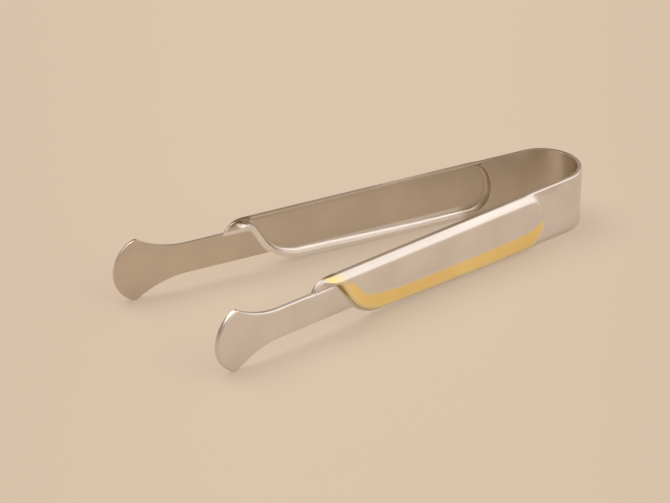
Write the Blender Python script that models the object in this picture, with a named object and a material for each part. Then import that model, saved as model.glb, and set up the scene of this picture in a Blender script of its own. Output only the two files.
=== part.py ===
"""Sugar tongs, pressed and bent from one strip of stainless steel.

The strip stands on its long edge. A U-shaped bow at +X is the spring. From its two ends a
straight arm runs towards -X, and both arms open at the same angle. Each arm has a handle
panel that a die presses outwards, a narrow neck, and a fan-shaped jaw. A gilded border lies on
the panel's lower shoulder, climbs its front step and ends in a pointed tail at the rear.

An arm is drawn flat first, in blank coordinates: u runs back from the tip of the jaw, z runs
up from the table, and n is the distance outwards from the middle of the sheet.
"""

import math

import bmesh
import bpy
from mathutils import Matrix, Vector

MM = 0.001

# Overall plan
OVERALL_LENGTH = 110.0 * MM
BOW_RADIUS = 8.1 * MM
ARM_ANGLE = math.radians(6.5)

# Strip
SHEET = 1.0 * MM
BAND_WIDTH = 13.4 * MM
SEAM_GAP = 0.3 * MM

# Jaw: a fan with a round front, small corners and hollow flares
JAW_HEIGHT = 14.6 * MM
JAW_CORNER_SETBACK = 5.2 * MM
JAW_CORNER_RADIUS = 1.0 * MM
FLARE_RADIUS = 22.0 * MM
NECK_WIDTH = 7.1 * MM

# Blank edge behind the neck, placed from the top of the panel's front step
LOWER_OGEE_SETBACK = 4.1 * MM
LOWER_OGEE_RUN = 11.0 * MM
HORN_EDGE_SETBACK = 2.1 * MM
HORN_EDGE_RADIUS = 9.3 * MM

# Handle panel, pressed outwards
PANEL_RAISE = 1.4 * MM
PANEL_RIM = 0.25 * MM
SHOULDER_WIDTH = 1.2 * MM
STEP_SHOULDER_WIDTH = 0.8 * MM
HORN_SHOULDER_WIDTH = 0.5 * MM
STEP_SLOPE = math.radians(57.0)
STEP_LOWER_RADIUS = 11.5 * MM
STEP_UPPER_RADIUS = 5.2 * MM
STEP_APEX = 29.9 * MM
STEP_APEX_DEPTH = 1.05 * MM
HORN_TIP_RADIUS = 8.1 * MM
PANEL_TO_BOW = 8.6 * MM
REAR_LOWER_RADIUS = 5.65 * MM
REAR_UPPER_LENGTH = 4.6 * MM

# Gilded border on the outside of each panel
GILDING = 0.2 * MM
GILDING_GAP = 0.1 * MM
GILDING_INSET = 0.25 * MM
GILDING_WIDTH = 4.45 * MM
TAIL_LENGTH = 8.3 * MM
TAIL_RISE = 1.9 * MM

# Fineness of the mesh
SHOULDER_ROWS = 5
FLOOR_ROWS = 3
STEP_SPACING = 0.4 * MM
PANEL_SPACING = 4.5 * MM
CORNER_SPACING = 0.25 * MM
FLARE_SPACING = 2.4 * MM
ARC_STEPS = 9
BOW_STEPS = 40
DIE_SAMPLES = 90
PUNCH_SAMPLES = 50
HALVINGS = 40
SHARP_EDGE = math.radians(35.0)
TINY = 1e-6

# Derived places
BLADE_MIDDLE = JAW_HEIGHT / 2
BOW_CENTRE = OVERALL_LENGTH / 2 - BOW_RADIUS - SHEET / 2
ARM_LENGTH = (
    OVERALL_LENGTH / 2 + BOW_CENTRE + (BOW_RADIUS - SHEET / 2) * math.sin(ARM_ANGLE)
) / math.cos(ARM_ANGLE)
PANEL_REAR = ARM_LENGTH - PANEL_TO_BOW
LOWER_OGEE_START = STEP_APEX + LOWER_OGEE_SETBACK
HORN_START = STEP_APEX + HORN_EDGE_SETBACK


def clear_scene():
    """Removes the objects that a new file starts with."""
    for item in list(bpy.data.objects):
        bpy.data.objects.remove(item, do_unlink=True)


def arc_drop(radius, run):
    """How far a circle falls from its top after a run to the side."""
    run = min(abs(run), radius)
    return radius - math.sqrt(radius * radius - run * run)


def smooth(value):
    """Eases from 0 to 1 with level ends."""
    value = max(0.0, min(1.0, value))
    return value * value * (3 - 2 * value)


# Outline of the flat blank

def jaw_circles():
    """Centres and radii of the jaw's front, corner and flare, as (u, half height, radius)."""
    corner_u = JAW_CORNER_SETBACK
    corner_h = JAW_HEIGHT / 2 - JAW_CORNER_RADIUS
    square = corner_u ** 2 + corner_h ** 2 - JAW_CORNER_RADIUS ** 2
    front_radius = square / (2 * (corner_u - JAW_CORNER_RADIUS))
    flare_h = NECK_WIDTH / 2 + FLARE_RADIUS
    reach = FLARE_RADIUS + JAW_CORNER_RADIUS
    flare_u = corner_u + math.sqrt(reach ** 2 - (flare_h - corner_h) ** 2)
    front = (front_radius, 0.0, front_radius)
    corner = (corner_u, corner_h, JAW_CORNER_RADIUS)
    flare = (flare_u, flare_h, FLARE_RADIUS)
    return front, corner, flare


def jaw_joints():
    """Where the front meets the corner, the corner the flare, and the flare the neck."""
    front, corner, flare = jaw_circles()
    share = front[2] / (front[2] - corner[2])
    front_end = front[0] + (corner[0] - front[0]) * share
    share = corner[2] / (corner[2] + flare[2])
    corner_end = corner[0] + (flare[0] - corner[0]) * share
    return front_end, corner_end, flare[0]


def blade_half_height(u):
    """Half the height of the jaw and of the neck behind it."""
    front, corner, flare = jaw_circles()
    front_end, corner_end, flare_end = jaw_joints()
    if u >= flare_end:
        return NECK_WIDTH / 2
    if u >= corner_end:
        return NECK_WIDTH / 2 + arc_drop(flare[2], flare_end - u)
    if u >= front_end:
        return corner[1] + corner[2] - arc_drop(corner[2], u - corner[0])
    return front[2] - arc_drop(front[2], front[2] - u)


def lower_edge(u):
    """Height of the blank's lower edge: the blade, an ogee of two arcs, then the table."""
    blade = BLADE_MIDDLE - blade_half_height(u)
    if u <= LOWER_OGEE_START:
        return blade
    half_run = LOWER_OGEE_RUN / 2
    radius = (half_run ** 2 + (blade / 2) ** 2) / blade
    into = u - LOWER_OGEE_START
    if into < half_run:
        return blade - arc_drop(radius, into)
    if into < LOWER_OGEE_RUN:
        return arc_drop(radius, LOWER_OGEE_RUN - into)
    return 0.0


def upper_edge(u):
    """Height of the blank's upper edge: the blade, the round end of the horn, then the band."""
    blade = BLADE_MIDDLE + blade_half_height(u)
    if u >= HORN_START:
        return BAND_WIDTH
    if HORN_START - u >= HORN_EDGE_RADIUS:
        return blade
    return max(blade, BAND_WIDTH - arc_drop(HORN_EDGE_RADIUS, HORN_START - u))


def horn_foot():
    """Where the round end of the horn comes down to the neck."""
    drop = BAND_WIDTH - (BLADE_MIDDLE + NECK_WIDTH / 2)
    return HORN_START - math.sqrt(drop * (2 * HORN_EDGE_RADIUS - drop))


# Outline of the pressed panel

def step_start():
    """Place on the lower rim where the panel's front step leaves it."""
    turn = 1 - math.cos(STEP_SLOPE)
    apex_height = BAND_WIDTH - STEP_APEX_DEPTH
    straight_rise = apex_height - PANEL_RIM - turn * (STEP_LOWER_RADIUS + STEP_UPPER_RADIUS)
    reach = math.sin(STEP_SLOPE) * (STEP_LOWER_RADIUS + STEP_UPPER_RADIUS)
    return STEP_APEX + reach + straight_rise / math.tan(STEP_SLOPE)


def step_ramp(u, inset):
    """Rise of the step above the rim: an arc that runs into a straight slope."""
    radius = STEP_LOWER_RADIUS - inset
    into = step_start() - u
    arc_run = radius * math.sin(STEP_SLOPE)
    if into <= 0:
        return 0.0
    if into <= arc_run:
        return arc_drop(radius, into)
    return arc_drop(radius, arc_run) + (into - arc_run) * math.tan(STEP_SLOPE)


def step_height(u, inset):
    """Foot of the panel's front step, moved into the panel by the inset."""
    apex_height = BAND_WIDTH - STEP_APEX_DEPTH + inset
    into = u - STEP_APEX
    if into < 0:
        return apex_height - arc_drop(HORN_TIP_RADIUS + inset, into)
    radius = STEP_UPPER_RADIUS + inset
    if into < radius * math.sin(STEP_SLOPE):
        return apex_height - arc_drop(radius, into)
    return PANEL_RIM + inset + step_ramp(u, inset)


def rear_equator():
    """Height at which the round rear end of the panel reaches furthest back."""
    return PANEL_RIM + REAR_LOWER_RADIUS


def panel_low(u, inset=0.0):
    """Lower limit of the pressed panel, moved inwards by the inset."""
    radius = REAR_LOWER_RADIUS - inset
    into = u - (PANEL_REAR - REAR_LOWER_RADIUS)
    if into > 0:
        return PANEL_RIM + inset + arc_drop(radius, into)
    return step_height(u, inset)


def panel_high(u, inset=0.0):
    """Upper limit of the pressed panel, moved inwards by the inset."""
    length = REAR_UPPER_LENGTH - inset
    height = BAND_WIDTH - PANEL_RIM - rear_equator() - inset
    into = (u - (PANEL_REAR - REAR_UPPER_LENGTH)) / length
    if into > 0:
        return rear_equator() + height * math.sqrt(max(0.0, 1 - into * into))
    return upper_edge(u) - PANEL_RIM - inset


def panel_front(inset=0.0):
    """Tip of the horn, where the panel's two limits meet, found by halving."""
    near, far = horn_foot(), STEP_APEX + STEP_UPPER_RADIUS * math.sin(STEP_SLOPE)
    for _ in range(HALVINGS):
        middle = (near + far) / 2
        if panel_low(middle, inset) < panel_high(middle, inset):
            far = middle
        else:
            near = middle
    return far


def shoulder_widths(u):
    """Widths of the lower and the upper shoulder of the pressing."""
    towards_step = smooth((step_start() - u) / STEP_LOWER_RADIUS)
    lower = SHOULDER_WIDTH + (STEP_SHOULDER_WIDTH - SHOULDER_WIDTH) * towards_step
    towards_horn = smooth((HORN_START + HORN_EDGE_RADIUS / 2 - u) / HORN_EDGE_RADIUS)
    upper = SHOULDER_WIDTH + (HORN_SHOULDER_WIDTH - SHOULDER_WIDTH) * towards_horn
    return lower, upper


def crowd_ends(start, end, count):
    """Places from start to end that lie closer together towards both ends."""
    span = (end - start) / 2
    return [start + span * (1 - math.cos(math.pi * index / count)) for index in range(count + 1)]


def distance(points, u, z):
    """Shortest way from a place to a sampled limit."""
    best = math.inf
    for (u0, z0), (u1, z1) in zip(points, points[1:]):
        run = u1 - u0
        rise = z1 - z0
        length = run * run + rise * rise
        share = ((u - u0) * run + (z - z0) * rise) / length if length else 0.0
        share = max(0.0, min(1.0, share))
        best = min(best, math.hypot(u - u0 - share * run, z - z0 - share * rise))
    return best


class Die:
    """The pressing tool: gives how far the sheet stands out at any place of the blank."""

    def __init__(self):
        self.front = panel_front()
        self.low = self.limit(panel_low)
        self.high = self.limit(panel_high)

    def limit(self, edge):
        """Samples one limit of the panel, closer together towards its round ends."""
        return [(u, edge(u)) for u in crowd_ends(self.front, PANEL_REAR, DIE_SAMPLES)]

    def depth(self, u, z):
        """How far the sheet is pressed outwards at a place."""
        if not self.front < u < PANEL_REAR:
            return 0.0
        if not panel_low(u) < z < panel_high(u):
            return 0.0
        lower, upper = shoulder_widths(u)
        from_low = smooth(distance(self.low, u, z) / lower)
        from_high = smooth(distance(self.high, u, z) / upper)
        return PANEL_RAISE * min(from_low, from_high)


# Mesh of one arm

def spread(start, end, spacing):
    """Even places from start to end, without the end."""
    count = max(1, round((end - start) / spacing))
    return [start + (end - start) * index / count for index in range(count)]


def bunch(start, end, count, at_start=False):
    """Places from start to end that crowd towards one end, as on a quarter circle."""
    places = []
    for index in range(count):
        share = index / count
        eased = 1 - math.cos(share * math.pi / 2) if at_start else math.sin(share * math.pi / 2)
        places.append(start + (end - start) * eased)
    return places


def stations(die):
    """Places along the arm where its cross-section is taken."""
    front_end, corner_end, flare_end = jaw_joints()
    rear_start = PANEL_REAR - max(REAR_LOWER_RADIUS, REAR_UPPER_LENGTH)
    places = bunch(0.0, front_end, ARC_STEPS, at_start=True)
    places += spread(front_end, corner_end, CORNER_SPACING)
    places += spread(corner_end, flare_end, FLARE_SPACING)
    places += [flare_end, horn_foot(), die.front]
    places += spread(die.front + STEP_SPACING / 4, step_start(), STEP_SPACING)
    places += spread(step_start(), rear_start, PANEL_SPACING)
    places += bunch(rear_start, PANEL_REAR, ARC_STEPS)
    places += [PANEL_REAR, ARM_LENGTH - SEAM_GAP / 2]
    return sorted(set(places))


def gilding_limit(u):
    """Inner edge of the gilded border."""
    into_tail = (u - PANEL_REAR) / TAIL_LENGTH + 1
    return PANEL_RIM + GILDING_WIDTH + TAIL_RISE * smooth(into_tail) + step_ramp(u, 0.0)


def panel_rows(die, u):
    """Heights across the pressed panel, from its lower limit to its upper one."""
    rows = 2 * SHOULDER_ROWS + FLOOR_ROWS + 2
    if u <= die.front:
        return [upper_edge(u)] * rows
    if u >= PANEL_REAR:
        return [rear_equator()] * rows
    lower, upper = shoulder_widths(u)
    middle = (panel_low(u) + panel_high(u)) / 2
    low_rows = []
    high_rows = []
    for index in range(SHOULDER_ROWS + 1):
        share = index / SHOULDER_ROWS
        low_rows.append(min(middle, panel_low(u, lower * share)))
        high_rows.append(max(middle, panel_high(u, upper * share)))
    floor = [
        low_rows[-1] + (high_rows[-1] - low_rows[-1]) * (index + 1) / (FLOOR_ROWS + 1)
        for index in range(FLOOR_ROWS)
    ]
    return low_rows + floor + high_rows[::-1]


def arm_point(side, u, n, z):
    """World place of a point of the blank. Side is -1 for the arm at -Y, +1 at +Y."""
    run = ARM_LENGTH - u
    x = BOW_CENTRE + (BOW_RADIUS + n) * math.sin(ARM_ANGLE) - run * math.cos(ARM_ANGLE)
    y = (BOW_RADIUS + n) * math.cos(ARM_ANGLE) + run * math.sin(ARM_ANGLE)
    return Vector((x, side * y, z))


def skin_mesh(name, side, columns, inner, outer):
    """Closed skin over a net of (u, z, depth) columns, between two distances from its middle.

    Every cell is cut along the same diagonal, so that both faces of the skin, and the skins of
    the arm and of its gilding, stay parallel.
    """
    shape = bmesh.new()
    nets = []
    for n in (inner, outer):
        net = []
        for column in columns:
            net.append([shape.verts.new(arm_point(side, u, depth + n, z)) for u, z, depth in column])
        nets.append(net)
    low, high = nets

    def cell(a, b, c, d):
        shape.faces.new((a, b, c))
        shape.faces.new((a, c, d))

    last = len(columns) - 1
    top = len(columns[0]) - 1
    for i in range(last):
        for j in range(top):
            for net in nets:
                cell(net[i][j], net[i + 1][j], net[i + 1][j + 1], net[i][j + 1])
        for j in (0, top):
            cell(low[i][j], high[i][j], high[i + 1][j], low[i + 1][j])
    for j in range(top):
        for i in (0, last):
            cell(low[i][j], low[i][j + 1], high[i][j + 1], high[i][j])
    bmesh.ops.remove_doubles(shape, verts=shape.verts, dist=TINY)
    bmesh.ops.recalc_face_normals(shape, faces=shape.faces)
    mesh = bpy.data.meshes.new(name)
    shape.to_mesh(mesh)
    shape.free()
    return mesh


def arm_columns(die):
    """Net of the whole arm, from the tip of the jaw to the seam at the bow."""
    columns = []
    for u in stations(die):
        heights = [lower_edge(u)] + panel_rows(die, u) + [upper_edge(u)]
        columns.append([(u, z, die.depth(u, z)) for z in heights])
    return columns


def gilding_outline():
    """Outline of the gilded border: the lower shoulder and the step, with a pointed tail."""
    front = panel_front(GILDING_INSET)
    rear = PANEL_REAR - GILDING_INSET
    low = []
    high = []
    for u in crowd_ends(front, rear, PUNCH_SAMPLES):
        low.append((u, panel_low(u, GILDING_INSET)))
        high.append((u, min(panel_high(u, GILDING_INSET), gilding_limit(u))))
    return low + high[-2:0:-1]


def punch_mesh(name, side, outline, inner, outer):
    """Closed prism over an outline of the blank, between two distances from its middle."""
    shape = bmesh.new()
    low = [shape.verts.new(arm_point(side, u, inner, z)) for u, z in outline]
    high = [shape.verts.new(arm_point(side, u, outer, z)) for u, z in outline]
    shape.faces.new(low)
    shape.faces.new(high)
    for index in range(len(outline)):
        after = (index + 1) % len(outline)
        shape.faces.new((low[index], low[after], high[after], high[index]))
    bmesh.ops.recalc_face_normals(shape, faces=shape.faces)
    mesh = bpy.data.meshes.new(name)
    shape.to_mesh(mesh)
    shape.free()
    return mesh


# Objects

def material(name, colour, metallic, roughness):
    """A plain Principled material."""
    surface = bpy.data.materials.new(name)
    surface.use_nodes = True
    shader = surface.node_tree.nodes["Principled BSDF"]
    shader.inputs["Base Color"].default_value = (*colour, 1.0)
    shader.inputs["Metallic"].default_value = metallic
    shader.inputs["Roughness"].default_value = roughness
    surface.diffuse_color = (*colour, 1.0)
    return surface


def place(name, mesh, surface, origin, parent=None):
    """Adds an object whose origin is the given place, under a parent if there is one."""
    mesh.transform(Matrix.Translation(-origin))
    mesh.materials.append(surface)
    mesh.shade_smooth()
    mesh.set_sharp_from_angle(angle=SHARP_EDGE)
    item = bpy.data.objects.new(name, mesh)
    bpy.context.collection.objects.link(item)
    item.location = origin
    if parent is not None:
        item.parent = parent
        item.location = origin - parent.location
    return item


def bow_mesh():
    """The spring: the strip's cross-section, spun from one seam to the other."""
    half_turn = math.pi / 2 - ARM_ANGLE - SEAM_GAP / 2 / BOW_RADIUS
    shape = bmesh.new()
    section = []
    for radius, z in (
        (BOW_RADIUS - SHEET / 2, 0.0),
        (BOW_RADIUS + SHEET / 2, 0.0),
        (BOW_RADIUS + SHEET / 2, BAND_WIDTH),
        (BOW_RADIUS - SHEET / 2, BAND_WIDTH),
    ):
        x = BOW_CENTRE + radius * math.cos(half_turn)
        section.append(shape.verts.new((x, -radius * math.sin(half_turn), z)))
    edges = [shape.edges.new((section[i - 1], section[i])) for i in range(len(section))]
    bmesh.ops.spin(
        shape,
        geom=section + edges,
        cent=(BOW_CENTRE, 0.0, 0.0),
        axis=(0.0, 0.0, 1.0),
        angle=2 * half_turn,
        steps=BOW_STEPS,
    )
    bmesh.ops.holes_fill(shape, edges=shape.edges)
    bmesh.ops.recalc_face_normals(shape, faces=shape.faces)
    mesh = bpy.data.meshes.new("bow")
    shape.to_mesh(mesh)
    shape.free()
    return mesh


def seam(side):
    """Axis on which an arm flexes: the end of the bow, in the middle of the sheet."""
    return arm_point(side, ARM_LENGTH, 0.0, 0.0)


def gild(side, word, columns, surface, arm):
    """Gilded border: a coat that follows the panel's net, trimmed to its outline by a punch."""
    inner = SHEET / 2 + GILDING_GAP
    outer = inner + GILDING
    net = [column[1:-1] for column in columns if panel_front() <= column[0][0] <= PANEL_REAR]
    coat = skin_mesh(f"{word}_gilding", side, net, inner, outer)
    coat = place(f"{word}_gilding", coat, surface, arm.location, arm)
    top = PANEL_RAISE + outer + GILDING
    punch = punch_mesh(f"{word}_punch", side, gilding_outline(), inner - GILDING, top)
    punch = place(f"{word}_punch", punch, surface, arm.location, arm)
    punch.hide_render = True
    punch.display_type = "WIRE"
    trim = coat.modifiers.new("trim", "BOOLEAN")
    trim.operation = "INTERSECT"
    trim.solver = "EXACT"
    trim.object = punch


def build():
    """Builds the bow, the two arms and their gilded borders."""
    clear_scene()
    steel = material("polished_steel", (0.62, 0.57, 0.52), 1.0, 0.28)
    gold = material("gilding", (0.85, 0.55, 0.20), 1.0, 0.24)
    place("bow", bow_mesh(), steel, Vector((BOW_CENTRE, 0.0, 0.0)))
    columns = arm_columns(Die())
    for side, word in ((-1, "right"), (1, "left")):
        arm = skin_mesh(f"{word}_arm", side, columns, -SHEET / 2, SHEET / 2)
        arm = place(f"{word}_arm", arm, steel, seam(side))
        gild(side, word, columns, gold, arm)


build()
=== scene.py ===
# %% [markdown]
# # Sugar tongs, pressed and bent from one strip of steel
#
# A pair of sugar tongs starts as a flat blank, cut out of a steel sheet one millimetre thick.
# A die presses a raised panel into each half of the blank for the fingers. Then the blank is
# bent into a U: the round end is the spring, and the two fans at the other end are the jaws.
#
# The lesson follows the same order. A flat half is drawn and meshed, a node tree presses and
# bends it, and the finish comes last. The loaded frame holds the plain model with its joints,
# and the gilded borders made here ride on it.

# %% Load the frame
import math

import bmesh
import bpy
from mathutils import Matrix, Vector
from mathutils.geometry import delaunay_2d_cdt
from mathutils.kdtree import KDTree


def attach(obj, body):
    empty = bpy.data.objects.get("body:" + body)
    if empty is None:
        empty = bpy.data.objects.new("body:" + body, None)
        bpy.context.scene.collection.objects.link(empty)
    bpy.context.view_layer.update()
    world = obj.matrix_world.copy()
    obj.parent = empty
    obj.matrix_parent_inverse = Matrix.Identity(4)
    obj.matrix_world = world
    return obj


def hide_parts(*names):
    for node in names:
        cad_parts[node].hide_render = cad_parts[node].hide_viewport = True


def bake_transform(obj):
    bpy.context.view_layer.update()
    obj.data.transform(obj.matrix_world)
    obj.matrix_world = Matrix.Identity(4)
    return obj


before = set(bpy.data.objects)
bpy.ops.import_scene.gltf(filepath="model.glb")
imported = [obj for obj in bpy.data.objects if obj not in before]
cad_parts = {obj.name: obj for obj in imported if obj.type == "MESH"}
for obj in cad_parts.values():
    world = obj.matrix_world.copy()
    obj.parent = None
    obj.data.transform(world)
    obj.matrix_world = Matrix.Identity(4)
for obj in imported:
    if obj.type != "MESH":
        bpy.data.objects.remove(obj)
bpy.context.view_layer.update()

# %% [markdown]
# ## Sizes
# The blank is drawn in its own flat coordinates: `u` runs back from the tip of the jaw, `z` runs
# up from the table, and `n` is the distance outwards from the middle of the sheet. All sizes
# are in millimetres in this cell, and `MM` turns them into metres where points are made.

# %% Sizes of the strip
MM = 0.001
LENGTH = 110.0
BOW_RADIUS = 8.1
ARM_ANGLE = math.radians(6.5)
SHEET = 1.0
BAND_WIDTH = 13.4
JAW_HEIGHT = 14.59
CORNER_SETBACK = 5.2
CORNER_RADIUS = 1.0
FLARE_RADIUS = 22.0
NECK_WIDTH = 7.1
CORNER_FOOT = 46.5
CORNER_ARC = 12.3
EDGE_LIFT = 0.75
LIFT_END = 76.0
HORN_EDGE_START = 31.2
HORN_EDGE_RADIUS = 4.9

BLADE_MIDDLE = JAW_HEIGHT / 2
NECK_TOP = BLADE_MIDDLE + NECK_WIDTH / 2
BOW_CENTRE = LENGTH / 2 - BOW_RADIUS - SHEET / 2
ARM_LENGTH = (
    LENGTH / 2 + BOW_CENTRE + (BOW_RADIUS - SHEET / 2) * math.sin(ARM_ANGLE)
) / math.cos(ARM_ANGLE)
CROWN = ARM_LENGTH + BOW_RADIUS * (math.pi / 2 - ARM_ANGLE)
print(f"the straight arm is {ARM_LENGTH:.1f} mm long, and half the strip {CROWN:.1f} mm")

# %% [markdown]
# ## Outline of the blank
# The edge of the real blank is a row of arcs: a round front, two small corners and two hollow
# flares make the fan of the jaw. Behind the neck the lower edge drops in one large arc to the
# panel's front corner, and then comes down the last bit to the table over the panel's length.
# Another arc ends the horn above the neck. Drawing arcs keeps the edge true to the cutting
# tool, where hand-placed points would wobble.

# %% Arcs of the blade
def fall(radius, run):
    """How far a circle falls from its top after a run to the side."""
    run = min(abs(run), radius)
    return radius - math.sqrt(radius * radius - run * run)


corner_height = JAW_HEIGHT / 2 - CORNER_RADIUS
front_radius = (CORNER_SETBACK**2 + corner_height**2 - CORNER_RADIUS**2) / (
    2 * (CORNER_SETBACK - CORNER_RADIUS)
)
flare_height = NECK_WIDTH / 2 + FLARE_RADIUS
flare_reach = FLARE_RADIUS + CORNER_RADIUS
flare_end = CORNER_SETBACK + math.sqrt(flare_reach**2 - (flare_height - corner_height) ** 2)
front_end = front_radius + (CORNER_SETBACK - front_radius) * front_radius / (
    front_radius - CORNER_RADIUS
)
corner_end = CORNER_SETBACK + (flare_end - CORNER_SETBACK) * CORNER_RADIUS / flare_reach


def blade_half(u):
    """Half the height of the jaw and of the neck behind it."""
    if u >= flare_end:
        return NECK_WIDTH / 2
    if u >= corner_end:
        return NECK_WIDTH / 2 + fall(FLARE_RADIUS, flare_end - u)
    if u >= front_end:
        return corner_height + CORNER_RADIUS - fall(CORNER_RADIUS, u - CORNER_SETBACK)
    return front_radius - fall(front_radius, front_radius - u)


print(f"front arc radius {front_radius:.2f} mm, neck from u = {flare_end:.1f} mm")

# %% Lower and upper edge
def lower_edge(u):
    """Height of the blank's lower edge: the blade, the panel's corner arc, then near the table."""
    blade = BLADE_MIDDLE - blade_half(u)
    if u < CORNER_FOOT:
        return min(blade, EDGE_LIFT + fall(CORNER_ARC, CORNER_FOOT - u))
    return EDGE_LIFT * max(0.0, (LIFT_END - u) / (LIFT_END - CORNER_FOOT))


def upper_edge(u):
    """Height of the blank's upper edge: the blade, the round end of the horn, then the band."""
    blade = BLADE_MIDDLE + blade_half(u)
    into = HORN_EDGE_START - u
    if into <= 0:
        return BAND_WIDTH
    if into >= HORN_EDGE_RADIUS:
        return blade
    return max(blade, BAND_WIDTH - fall(HORN_EDGE_RADIUS, into))


# %% [markdown]
# ## A line with even steps
# The edge and the die's outline are first sampled very finely. `walk` then keeps a point
# whenever the way since the last one reaches the step wanted at that place, so that small
# arcs get many points and straight runs few.

# %% Walk along a line
def walk(points, step_at):
    """Thins a fine line to points about one step apart; the ends stay."""
    kept = [points[0]]
    gone = 0.0
    for before, point in zip(points, points[1:]):
        gone += math.dist(before, point)
        if gone >= step_at(point):
            kept.append(point)
            gone = 0.0
    if math.dist(kept[-1], points[-1]) < 0.5 * step_at(points[-1]) and len(kept) > 1:
        kept.pop()
    kept.append(points[-1])
    return kept


def even(points, step):
    """Thins a fine line to points the same step apart."""
    return walk(points, lambda point: step)


def fine(start, end, step=0.02):
    """Even places from start to end, both kept."""
    count = max(1, round(abs(end - start) / step))
    return [start + (end - start) * index / count for index in range(count + 1)]


EDGE_STEP_TABLE = (
    (7.0, 0.16), (24.0, 0.5), (46.0, 0.25),
    (ARM_LENGTH - 4.0, 0.8), (CROWN - 0.6, 0.3), (math.inf, 0.06),
)


def step_from(table):
    """A rule that gives the step of the first row whose limit lies behind a point."""
    return lambda point: next(step for limit, step in table if point[0] < limit)


def blank_edge():
    """The blank's edge from the crown along the top, round the jaw and back along the bottom."""
    turn = math.asin(blade_half(front_end) / front_radius)
    front = [
        (front_radius * (1 - math.cos(angle)), BLADE_MIDDLE + front_radius * math.sin(angle))
        for angle in fine(turn, -turn, 0.004)
    ]
    top = [(u, upper_edge(u)) for u in fine(CROWN, front_end)[:-1]]
    bottom = [(u, lower_edge(u)) for u in fine(front_end, CROWN)[1:]]
    return walk(top + front + bottom, step_from(EDGE_STEP_TABLE))


edge = blank_edge()
print("points on the blank's edge:", len(edge))

# %% [markdown]
# ## Outline of the die
# The panel's shoulder starts at the foot line. Below, the foot runs close to the lower edge and
# round its corner, climbs the straight front step and turns forward under the horn. Above, it
# follows the upper edge. At the rear two arcs close it in a round end. Only this line has to be
# drawn, because the shape beside it depends on nothing but the distance from it.

# %% Foot lines of the panel
LOW_RIM = 0.12
HIGH_RIM = 0.06
STEP_SLOPE = math.radians(57.5)
STEP_LOWER_RADIUS = CORNER_ARC - LOW_RIM
STEP_UPPER_RADIUS = 1.6
STEP_TOP = 10.8
STEP_FOOT = EDGE_LIFT + LOW_RIM
step_radii = STEP_LOWER_RADIUS + STEP_UPPER_RADIUS
step_drop = STEP_TOP - STEP_FOOT - step_radii * (1 - math.cos(STEP_SLOPE))
STEP_APEX = CORNER_FOOT - step_radii * math.sin(STEP_SLOPE) - step_drop / math.tan(STEP_SLOPE)
HORN_TIP = 27.0
PANEL_REAR = ARM_LENGTH - 8.0
REAR_LOWER_RADIUS = 5.75
REAR_UPPER_LENGTH = 4.7
rear_equator = LOW_RIM + REAR_LOWER_RADIUS


def step_foot():
    """Foot of the lower shoulder, from the horn's tip down the front step to the lower rim."""
    line = [(u, STEP_TOP) for u in fine(HORN_TIP, STEP_APEX)]
    for angle in fine(0, STEP_SLOPE, 0.01):
        u = STEP_APEX + STEP_UPPER_RADIUS * math.sin(angle)
        line.append((u, STEP_TOP - STEP_UPPER_RADIUS * (1 - math.cos(angle))))
    top = line[-1]
    for share in fine(0, 1, 0.01):
        u = top[0] + share * step_drop / math.tan(STEP_SLOPE)
        line.append((u, top[1] - share * step_drop))
    for angle in fine(STEP_SLOPE, 0, 0.004):
        u = CORNER_FOOT - STEP_LOWER_RADIUS * math.sin(angle)
        line.append((u, STEP_FOOT + STEP_LOWER_RADIUS * (1 - math.cos(angle))))
    return line


def rear_arc():
    """Foot round the rear end, from the lower rim to the upper one."""
    line = []
    for angle in fine(0, math.pi / 2, 0.01):
        u = PANEL_REAR - REAR_LOWER_RADIUS * (1 - math.sin(angle))
        line.append((u, LOW_RIM + REAR_LOWER_RADIUS * (1 - math.cos(angle))))
    height = BAND_WIDTH - HIGH_RIM - rear_equator
    for angle in fine(0, math.pi / 2, 0.01):
        u = PANEL_REAR - REAR_UPPER_LENGTH * (1 - math.cos(angle))
        line.append((u, rear_equator + height * math.sin(angle)))
    return line


step_line = step_foot()
rear_line = rear_arc()
low_rim = [(u, lower_edge(u) + LOW_RIM) for u in fine(step_line[-1][0], rear_line[0][0])]
high_foot = [(u, upper_edge(u) - HIGH_RIM) for u in fine(rear_line[-1][0], HORN_TIP)]
low_foot = step_line + low_rim[1:-1] + rear_line
print(f"the step turns down at u = {STEP_APEX:.1f} mm and meets the rim at {CORNER_FOOT:.1f} mm")

# %% [markdown]
# ## Shoulder of the pressing
# Sheet that is pressed over a die rises from its foot in a small arc, climbs a steep flank and
# rolls over a wider arc on to the flat of the panel. The same three stages are used here. The
# widths of the arcs also say where the mesh needs its rows: between them the sheet is straight.

# %% Profile of the shoulder
RAISE = 1.4
FOOT_RADIUS = 0.22
SHOULDER_RADIUS = 1.5
FLANK = math.radians(66.0)

arc_rise = (FOOT_RADIUS + SHOULDER_RADIUS) * (1 - math.cos(FLANK))
foot_run = FOOT_RADIUS * math.sin(FLANK)
flank_run = (RAISE - arc_rise) / math.tan(FLANK)
shoulder_run = SHOULDER_RADIUS * math.sin(FLANK)
shoulder_width = foot_run + flank_run + shoulder_run

GOLD_INSET = foot_run + flank_run + 0.12
rows = [-0.3, -0.1]
rows += [FOOT_RADIUS * math.sin(FLANK * index / 4) for index in range(5)]
rows += [shoulder_width - SHOULDER_RADIUS * math.sin(FLANK * index / 9) for index in range(10)]
rows += [GOLD_INSET, shoulder_width + 0.25, shoulder_width + 0.7]
rows.sort()
print(f"shoulder {shoulder_width:.2f} mm wide, flank {flank_run:.2f} mm of it, {len(rows)} rows")

# %% [markdown]
# ## Outline of the gilding
# A gold border starts on the horn's ridge, covers the front step and the lower shoulder of each
# panel and runs out in a pointed tail at the rear. It is masked and plated: its outer limit
# keeps just above the steep flank, and its inner limit is a free curve, drawn smoothly through
# a few spots. Both lines join the mesh of the steel, so the border ends cleanly.

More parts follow.
